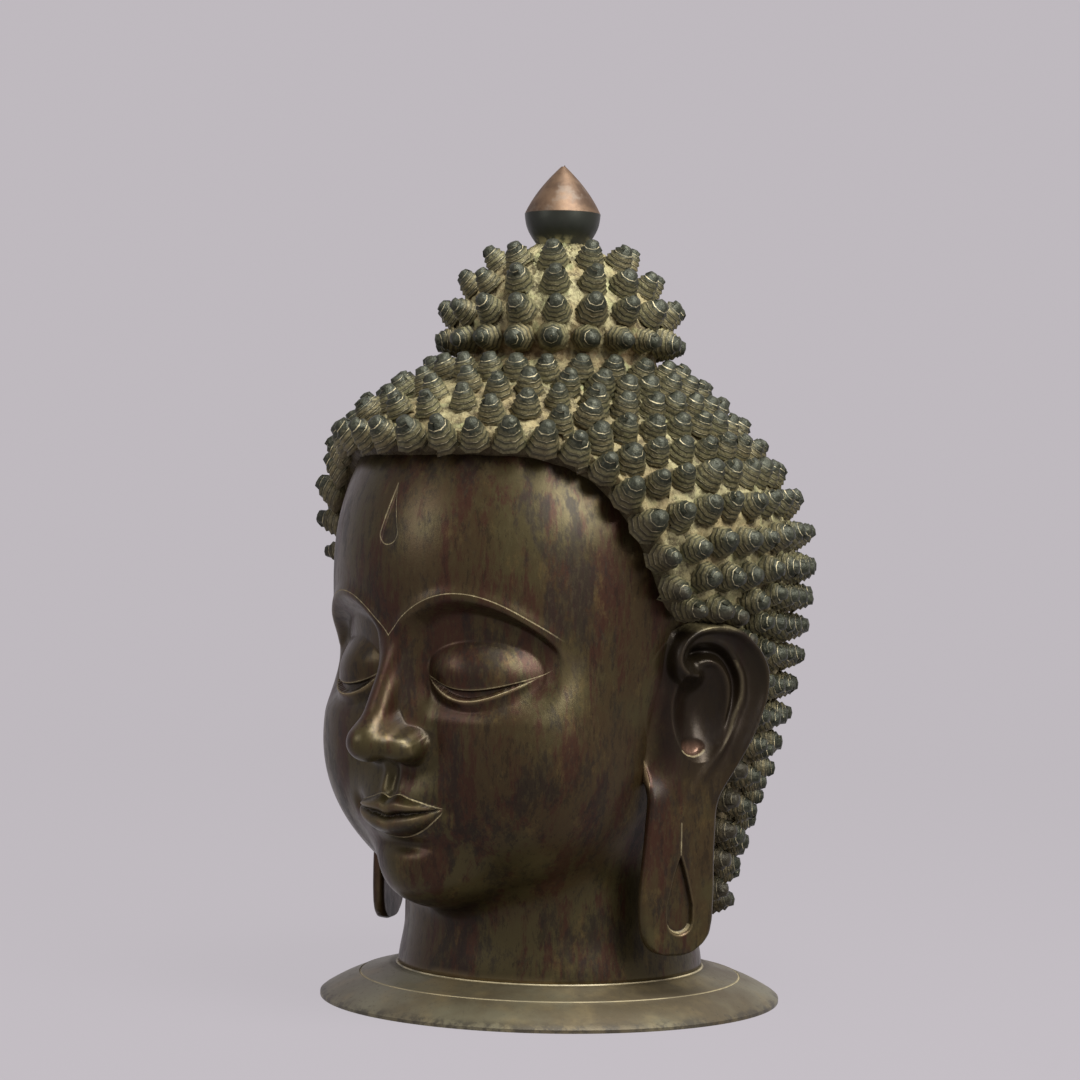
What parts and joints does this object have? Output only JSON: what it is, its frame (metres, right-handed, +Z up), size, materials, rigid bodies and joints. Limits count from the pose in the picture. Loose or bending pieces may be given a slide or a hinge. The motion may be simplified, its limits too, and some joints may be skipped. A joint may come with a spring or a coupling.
{
  "type": "cast brass buddha head",
  "caption": "Upright cast brass head with long ears, rows of snail-shell curls, a domed top-knot and a bud finial, standing on a flared round foot plate.",
  "frame": {"origin": "centre of the foot plate's underside", "axes": "+Z up, the face looks along -Y, +X towards the head's own left ear"},
  "size_m": [0.5425, 0.6341, 0.9],
  "materials": {
    "face_brass": "dark brown patina, hand polished, satin gloss",
    "curl_brass": "rough verdigris with pale dust in the grooves and dark tips",
    "plate_brass": "olive brown patina, dull satin",
    "finial_brass": "burnished copper brown above the edge, dark green below"
  },
  "bodies": {
    "root": {"head": "face_brass", "base_plate": "plate_brass", "crown_finial": "finial_brass"}
  },
  "joints": []
}
